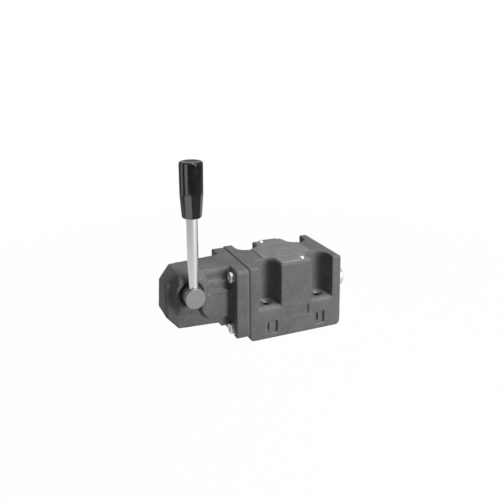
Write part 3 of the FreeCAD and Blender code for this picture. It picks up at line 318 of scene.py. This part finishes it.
NODE_FINISH = {
    "valve_body": "body_casting", "lever_housing": "housing_casting", "nameplate": "plate",
    "nameplate_screws": "zinc", "port_orings": "rubber", "housing_gasket": "gasket",
    "housing_screws": "zinc", "lever_shaft": "shaft", "shaft_bush_front": "bronze",
    "shaft_bush_rear": "bronze", "shaft_seal": "rubber", "crank_arm": "black_steel",
    "crank_pin": "black_steel", "lever_rod": "rod", "handle_knob": "grip", "knob_insert": "brass",
    "spool": "spool", "operating_rod": "spool", "rod_fork": "black_steel", "fork_lock_nut": "zinc",
    "spring_seat_left": "black_steel", "spring_seat_right": "black_steel", "spring_cup": "black_steel",
    "spring_left": "spring", "spring_right": "spring", "end_plug": "plug", "end_plug_oring": "rubber",
}
for node_name, finish in NODE_FINISH.items():
    node = nodes[node_name]
    node.data.materials.clear()
    node.data.materials.append(FINISH[finish])


# Making of pieces.

AXES = {"X": Vector((1, 0, 0)), "Y": Vector((0, 1, 0)), "Z": Vector((0, 0, 1))}
ACROSS = {"X": "Y", "Y": "X", "Z": "X"}


def point(*mm):
    return Vector(mm) * MM


def turn(work, profile, centre, axis, steps=64):
    """Spins a profile of (place along the axis, radius), in millimetres, a full turn about the axis."""
    along, out = AXES[axis], AXES[ACROSS[axis]]
    verts = [work.verts.new(point(*centre) + along * a * MM + out * r * MM) for a, r in profile]
    edges = [work.edges.new(pair) for pair in zip(verts, verts[1:])]
    bmesh.ops.spin(work, geom=verts + edges, cent=point(*centre), axis=along,
                   angle=2 * math.pi, steps=steps, use_merge=True)
    bmesh.ops.remove_doubles(work, verts=work.verts, dist=0.001 * MM)


def block(work, low, high):
    """A box between two corners."""
    middle = [(a + b) / 2 * MM for a, b in zip(low, high)]
    size = [(b - a) * MM for a, b in zip(low, high)]
    made = bmesh.ops.create_cube(work, size=1.0)["verts"]
    bmesh.ops.scale(work, vec=size, verts=made)
    bmesh.ops.translate(work, vec=middle, verts=made)


def rounded_edges(work, width, angle):
    """Bevels every edge sharper than the angle, in degrees."""
    sharp = [e for e in work.edges if len(e.link_faces) == 2 and e.calc_face_angle(0.0) > math.radians(angle)]
    bmesh.ops.bevel(work, geom=sharp, offset=width * MM, segments=2, profile=0.5,
                    affect="EDGES", material=-1, clamp_overlap=True)


def finished(work, name, finish, body, stands_for, smooth):
    """The worked mesh as an object that rides on a body; edges below the smooth angle, in degrees, look round."""
    bmesh.ops.recalc_face_normals(work, faces=work.faces)
    mesh = bpy.data.meshes.new(name)
    work.to_mesh(mesh)
    work.free()
    mesh.materials.append(FINISH[finish])
    mesh.shade_smooth()
    mesh.set_sharp_from_angle(angle=math.radians(smooth))
    piece = bpy.data.objects.new(name, mesh)
    scene.collection.objects.link(piece)
    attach(piece, body)
    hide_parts(*stands_for)
    return piece


def merged_copy(node_name):
    """A working copy of a solid, its loose triangles joined."""
    work = bmesh.new()
    work.from_mesh(nodes[node_name].data)
    bmesh.ops.remove_doubles(work, verts=work.verts, dist=0.002 * MM)
    return work


def with_round_edges(node_name, width, angle):
    """A working copy of a solid with plane faces made whole and its edges rounded."""
    work = merged_copy(node_name)
    bmesh.ops.dissolve_limit(work, angle_limit=math.radians(0.5), verts=work.verts, edges=work.edges)
    rounded_edges(work, width, angle)
    return work


# Castings, worked from the solids.

def applied(piece):
    """Puts the result of the piece's modifiers in its mesh."""
    bpy.context.view_layer.update()
    made = bpy.data.meshes.new_from_object(piece.evaluated_get(bpy.context.evaluated_depsgraph_get()))
    piece.modifiers.clear()
    piece.data = made


def remeshed(piece, voxel, adaptivity):
    """An even mesh of small faces; the adaptivity joins those that lie flat."""
    even = piece.modifiers.new("even", "REMESH")
    even.mode = "VOXEL"
    even.voxel_size = voxel * MM
    even.adaptivity = adaptivity
    applied(piece)


def object_of(work, name):
    """The working copy as an object of the scene."""
    mesh = bpy.data.meshes.new(name)
    work.to_mesh(mesh)
    work.free()
    piece = bpy.data.objects.new(name, mesh)
    scene.collection.objects.link(piece)
    return piece


def with_panels(piece, sunk, raised):
    """Sinks panels in the piece and sets bars in them, each given by its two corners."""
    work = bmesh.new()
    for low, high in sunk:
        block(work, low, high)
    pattern = object_of(work, "panel_pattern")
    sink = piece.modifiers.new("sink", "BOOLEAN")
    sink.operation = "DIFFERENCE"
    sink.solver = "EXACT"
    sink.object = pattern
    applied(piece)
    bpy.data.objects.remove(pattern, do_unlink=True)
    work = bmesh.new()
    work.from_mesh(piece.data)
    for low, high in raised:
        block(work, low, high)
    work.to_mesh(piece.data)
    work.free()


def casting(name, node_name, finish, shaped):
    """A copy of a cast solid, shaped further, its sharp edges softened as sand leaves them."""
    piece = object_of(merged_copy(node_name), name)
    shaped(piece)
    remeshed(piece, CAST_GRID, CAST_FLATNESS)
    soften = piece.modifiers.new("soften", "SMOOTH")
    soften.factor = 0.5
    soften.iterations = 2
    applied(piece)
    piece.data.materials.clear()
    piece.data.materials.append(FINISH[finish])
    piece.data.shade_smooth()
    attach(piece, "base")
    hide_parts(node_name)


def fillet_boss(piece):
    """Draws the wall round the shaft's boss out to it in a long hollow curve, longest towards the nose."""
    boss_face, boss_radius, deepest, nose_knee, fade = -22.5, 14.5, -12.5, -109.3, 6.0
    shortest, further, reach_in, reach_out = 4.5, 7.0, -0.9, 12.0
    remeshed(piece, 0.5, 0.0)
    for vert in piece.data.vertices:
        x, y, z = (c / MM for c in vert.co)
        across = math.hypot(x - SHAFT_X, z - SHAFT_Z)
        reach = across - boss_radius
        if not (boss_face < y < deepest and reach_in < reach < reach_out and vert.normal.y < 0.3):
            continue
        noseward = min(max(0.5 - (x - SHAFT_X) / across, 0.0), 1.0)
        run = max(reach, 0.0) / (shortest + further * noseward)
        if run < 1:
            share = (1 - run) ** 2 * (1 + 2 * run) * (1 - min(max(nose_knee - x, 0.0) / fade, 1.0))
            vert.co.y += (boss_face - y) * share * MM


# The grid of the castings' meshes in millimetres, and how far flat faces are joined.
CAST_GRID, CAST_FLATNESS = 0.38, 0.05
# Panels sunk in the body's front, deep enough to cast a shadow, and the bars that stand in two of them.
OUT, SHALLOW, DEEP = BODY_FRONT - 2, BODY_FRONT + 1.5, BODY_FRONT + 2.2
SUNK_PANELS = [((-11.8, OUT, 18.0), (12.8, SHALLOW, 27.2)),
               ((-30.2, OUT, 5.9), (-19.8, DEEP, 17.1)),
               ((19.6, OUT, 6.2), (29.8, DEEP, 17.6))]
BAR_TOP, BAR_ROOT = BODY_FRONT + 0.1, BODY_FRONT + 3.2
PANEL_BARS = [((-28.2, BAR_TOP, 8.4), (-26.6, BAR_ROOT, 14.7)),
              ((22.9, BAR_TOP, 9.0), (24.5, BAR_ROOT, 15.9))]
casting("body_casting", "valve_body", "body_casting", lambda piece: with_panels(piece, SUNK_PANELS, PANEL_BARS))
casting("housing_casting", "lever_housing", "housing_casting", fillet_boss)


# Small metal pieces and the grip.

QUARTER_TURN = [step * math.pi / 16 for step in range(9)]


def housing_screws():
    """Four socket-head screws: knurled heads with a chamfered rim and a hexagon socket."""
    head, rise, socket_half, depth, shank, length = 5.0, 6.0, 2.5, 3.0, 3.0, 15.5
    knurl_steps, knurl_depth, mouth_chamfer, drill_point = 72, 0.16, 0.25, 1.2
    seat = SCREW_SEAT
    work = bmesh.new()
    for y, z in SCREW_PLACES:
        profile = [(length, 0.0), (length, shank - 0.5), (length - 0.5, shank), (0.0, shank), (0.0, head - 0.3),
                   (-0.3, head), (-rise + 1.2, head), (-rise + 0.7, head), (-rise + 0.35, head - 0.15),
                   (-rise, head - 0.55), (-rise, 3.5)]
        before = set(work.verts)
        turn(work, profile, (seat, y, z), "X", knurl_steps)
        new = [v for v in work.verts if v not in before]
        grooves = [v for v in new if seat - rise + 1.0 < v.co.x / MM < seat - 0.2
                   and round(math.atan2(v.co.z / MM - z, v.co.y / MM - y) * knurl_steps / (2 * math.pi)) % 2]
        centre = point(0, y, z)
        for vert in grooves:
            middle = Vector((vert.co.x, centre.y, centre.z))
            vert.co = middle + (vert.co - middle) * (1 - knurl_depth / head)
        rim = [e for v in new for e in v.link_edges if e.is_boundary]
        corner = socket_half / math.cos(math.pi / 6) + mouth_chamfer
        ring = bmesh.ops.create_circle(work, cap_ends=False, segments=6, radius=corner * MM)["verts"]
        bmesh.ops.rotate(work, verts=ring, cent=(0, 0, 0), matrix=Matrix.Rotation(math.pi / 2, 3, "Y"))
        bmesh.ops.translate(work, verts=ring, vec=point(seat - rise, y, z))
        mouth = list({e for v in ring for e in v.link_edges})
        bmesh.ops.bridge_loops(work, edges=list(set(rim)) + mouth)
        edges = mouth
        for drop, shrink in ((mouth_chamfer, 0.92), (depth, 1.0)):
            made = bmesh.ops.extrude_edge_only(work, edges=edges)["geom"]
            verts = [g for g in made if isinstance(g, bmesh.types.BMVert)]
            edges = [g for g in made if isinstance(g, bmesh.types.BMEdge)]
            bmesh.ops.translate(work, verts=verts, vec=point(drop, 0, 0))
            for vert in verts:
                middle = Vector((vert.co.x, centre.y, centre.z))
                vert.co = middle + (vert.co - middle) * shrink
        low = work.verts.new(point(seat - rise + depth + drill_point, y, z))
        for edge in edges:
            work.faces.new((edge.verts[0], edge.verts[1], low))
    finished(work, "socket_screws", "zinc", "base", ["housing_screws"], 25.0)


def drive_screws():
    """Two domed drive screws that hold the plate."""
    head, rise, shank, length = 2.3, 1.5, 1.0, 6.0
    dome = [(rise * math.sin(t), head * math.cos(t)) for t in QUARTER_TURN]
    profile = [(-length, 0.0), (-length, shank), (0.0, shank)] + dome[:-1] + [(rise, 0.0)]
    work = bmesh.new()
    for x, y in DRIVE_SCREWS:
        turn(work, profile, (x, y, PLATE_TOP), "Z", 32)
    finished(work, "drive_screws", "zinc", "base", ["nameplate_screws"], 50.0)


def plate():
    """The bare plate with a fine rounded edge."""
    work = with_round_edges("nameplate", 0.22, 50.0)
    finished(work, "bare_plate", "plate", "base", ["nameplate"], 30.0)


def rod():
    """Drawn rod, slimmer towards its foot, up into the grip."""
    foot, swell, top, thread, thread_end = 4.15, 4.9, 5.1, 4.0, 141.6
    work = bmesh.new()
    profile = [(ROD_FOOT, 0.0), (ROD_FOOT, foot - 0.3), (ROD_FOOT + 0.3, foot), (60.8, foot), (84.6, swell),
               (110.0, 5.03), (GRIP_FOOT, top), (GRIP_FOOT, thread), (thread_end - 0.5, thread),
               (thread_end, thread - 0.5), (thread_end, 0.0)]
    turn(work, profile, (SHAFT_X, LEVER_Y, 0), "Z", 64)
    finished(work, "bright_rod", "rod", "lever", ["lever_rod"], 35.0)


def grip():
    """Moulded grip: round above, drawn in to eight flats at the foot, with a shallow dish on top."""
    waist, foot_radius, waist_radius = 20.5, 8.65, 10.2
    tall, rim, top_radius, dish = 48.9, 1.8, 10.35, 0.7
    bore, bore_radius = 18.2, 4.05
    flats, flats_turn, flats_end = 8, math.radians(10.0), waist + 4
    flat_at_foot, flat_widening, flat_runout = 8.05, 1.7, 0.25
    widening = waist_radius - foot_radius
    lower = [(step * 0.5, foot_radius + widening * step * 0.5 / waist) for step in range(2, 41)]
    upper = [(waist + step * 0.5, waist_radius + 0.003 * step) for step in range(8)]
    corner = [(tall - rim + rim * math.sin(t), top_radius - rim + rim * math.cos(t)) for t in QUARTER_TURN]
    profile = ([(bore, 0.0), (bore, bore_radius), (0.5, bore_radius), (0.0, 4.5), (0.0, 7.7), (0.25, 8.3)]
               + lower + upper + [(34.0, 10.27)] + corner
               + [(tall, 7.0), (tall - 0.12, 6.6), (tall - dish + 0.15, 4.0),
                  (tall - dish, 2.0), (tall - dish, 0.0)])
    work = bmesh.new()
    turn(work, profile, (SHAFT_X, LEVER_Y, GRIP_FOOT), "Z", 128)
    for vert in work.verts:
        height = vert.co.z / MM - GRIP_FOOT
        out = Vector((vert.co.x, vert.co.y, 0)) - point(SHAFT_X, LEVER_Y, 0)
        if height > flats_end or out.length < 6 * MM:
            continue
        off = (math.atan2(out.y, out.x) - flats_turn + math.pi / flats) % (2 * math.pi / flats) - math.pi / flats
        flat = flat_at_foot + flat_widening * min(height, waist) / waist + flat_runout * max(height - waist, 0)
        limit = flat * MM / math.cos(off)
        if out.length > limit:
            bmesh.ops.translate(work, verts=[vert], vec=out.normalized() * (limit - out.length))
    return finished(work, "moulded_grip", "grip", "lever", ["handle_knob"], 30.0)


def shaft():
    """Stout shaft end with a chamfered rim, stepped down inside the housing."""
    work = bmesh.new()
    front, shoulder, journal, tail, chamfer = SHAFT_FACE, -9.5, 7.0, 19.3, 0.4
    profile = [(front, 0.0), (front, SHAFT_RADIUS - chamfer), (front + chamfer, SHAFT_RADIUS),
               (shoulder, SHAFT_RADIUS), (shoulder, journal), (tail - chamfer, journal),
               (tail, journal - chamfer), (tail, 0.0)]
    turn(work, profile, (SHAFT_X, 0, SHAFT_Z), "Y", 96)
    finished(work, "shaft_end", "shaft", "lever", ["lever_shaft"], 30.0)


def plug():
    """Hexagon plug with a turned round nose, its edges fine and bright."""
    work = with_round_edges("end_plug", 0.3, 25.0)
    finished(work, "end_plug_turned", "plug", "base", ["end_plug"], 30.0)


housing_screws()
drive_screws()
plate()
rod()
shaft()
plug()
grip_piece = grip()


# Floor, light and camera.

def seen_directly(tree):
    """The light path, and 1 for what shiny and clear faces see, 0 for other light."""
    path = add(tree, "ShaderNodeLightPath")
    return path, maths(tree, "MAXIMUM", path.outputs["Is Glossy Ray"], path.outputs["Is Transmission Ray"])


floor_mesh = bpy.data.meshes.new("floor")
work = bmesh.new()
bmesh.ops.create_grid(work, x_segments=1, y_segments=1, size=6.0)
work.to_mesh(floor_mesh)
work.free()
floor = bpy.data.objects.new("floor", floor_mesh)
scene.collection.objects.link(floor)
floor.location.z = -0.0002
paper = bpy.data.materials.new("white_paper")
paper.use_nodes = True
tree = paper.node_tree
shader = tree.nodes["Principled BSDF"]
shader.inputs["Roughness"].default_value = 0.9
path, mirrored = seen_directly(tree)
tree.links.new(mixed(tree, path.outputs["Is Camera Ray"], grey(0.26), grey(1.0)), shader.inputs["Base Color"])
parts = add(tree, "ShaderNodeSeparateXYZ", inputs={0: add(tree, "ShaderNodeTexCoord").outputs["Object"]})
distance = distance_across(tree, parts.outputs[0], parts.outputs[1])
# White to the camera, a little less near the object so that its shadow shows; shiny faces see it greyer.
far = between(tree, distance, 0.2, 0.6, 0.975, 1.0)
sheet = between(tree, distance, 0.25, 0.7, 0.72, 0.30)
share = maths(tree, "MAXIMUM", maths(tree, "MULTIPLY", path.outputs["Is Camera Ray"], far), mirrored)
strength = between(tree, mirrored, 0.0, 1.0, 1.0, sheet, smooth=False)
plain = add(tree, "ShaderNodeEmission", inputs={"Color": (1, 1, 1, 1), "Strength": strength})
mix = add(tree, "ShaderNodeMixShader", inputs={0: share})
tree.links.new(shader.outputs[0], mix.inputs[1])
tree.links.new(plain.outputs[0], mix.inputs[2])
# Clear from below, so that the object's underside can be looked at.
below = add(tree, "ShaderNodeMixShader", inputs={0: add(tree, "ShaderNodeNewGeometry").outputs["Backfacing"]})
tree.links.new(mix.outputs[0], below.inputs[1])
tree.links.new(add(tree, "ShaderNodeBsdfTransparent").outputs[0], below.inputs[2])
tree.links.new(below.outputs[0], tree.nodes["Material Output"].inputs["Surface"])
floor_mesh.materials.append(paper)

world = bpy.data.worlds.new("studio")
scene.world = world
world.use_nodes = True
tree = world.node_tree
path, mirrored = seen_directly(tree)
dim = between(tree, mirrored, 0.0, 1.0, 0.022, 0.55, smooth=False)
strength = between(tree, path.outputs["Is Camera Ray"], 0.0, 1.0, dim, 1.0, smooth=False)
background = tree.nodes["Background"]
background.inputs["Color"].default_value = (1, 1, 1, 1)
tree.links.new(strength, background.inputs["Strength"])


def softbox(name, place, target, width, height, power, reflection_only=False):
    light = bpy.data.lights.new(name, "AREA")
    light.shape = "RECTANGLE"
    light.size = width
    light.size_y = height
    light.energy = power
    lamp = bpy.data.objects.new(name, light)
    scene.collection.objects.link(lamp)
    lamp.location = place
    lamp.rotation_euler = (Vector(target) - Vector(place)).to_track_quat("-Z", "Y").to_euler()
    lamp.visible_camera = False
    lamp.visible_diffuse = not reflection_only
    return lamp


MIDDLE = (-0.03, 0.0, 0.05)
softbox("key", (0.42, -1.0, 0.28), MIDDLE, 0.3, 0.3, 8.5)
softbox("top", (0.12, -0.12, 1.2), MIDDLE, 0.3, 0.3, 8.0)

# Pale cards that only the glossy grip mirrors: name, direction from the front in degrees, distance,
# height, width, length, brightness. Those near the floor lie on it.
GRIP_PLACE = Vector((SHAFT_X * MM, LEVER_Y * MM, 0.14))
UP = Vector((0, 0, 1))
grip_only = bpy.data.collections.new("grip_only")
grip_only.objects.link(grip_piece)
CARDS = [("left_card", -64, 0.43, 0.20, 0.23, 0.44, 4.0), ("left_back_card", -113, 0.43, 0.20, 0.19, 0.44, 2.4),
         ("low_left_card", -53, 0.32, 0.003, 0.20, 0.20, 4.2), ("low_right_card", 100, 0.32, 0.003, 0.2, 0.2, 1.5)]
for name, direction, distance, height, width, length, brightness in CARDS:
    heading = math.radians(direction)
    place = Vector((GRIP_PLACE.x + distance * math.sin(heading), GRIP_PLACE.y - distance * math.cos(heading),
                    height))
    facing = GRIP_PLACE if height > 0.05 else place + UP
    card = softbox(name, place, facing, width, length, brightness * math.pi * width * length, True)
    card.light_linking.receiver_collection = grip_only

camera_data = bpy.data.cameras.new("camera")
camera_data.sensor_width = 36.0
camera_data.lens = 43.2
camera_data.shift_x = 0.0078
camera_data.shift_y = -0.1984
camera_data.clip_start = 0.01
camera = bpy.data.objects.new("camera", camera_data)
scene.collection.objects.link(camera)
right = Vector((0.92284, -0.38514, -0.00576)).normalized()
back = Vector((-0.37837, -0.90923, 0.1736))
back = (back - right * back.dot(right)).normalized()
up = back.cross(right)
camera.matrix_world = Matrix.Translation((-0.24621, -0.50496, 0.26865)) @ Matrix(
    (right, up, back)).transposed().to_4x4()
scene.camera = camera
scene.view_settings.view_transform = "Standard"
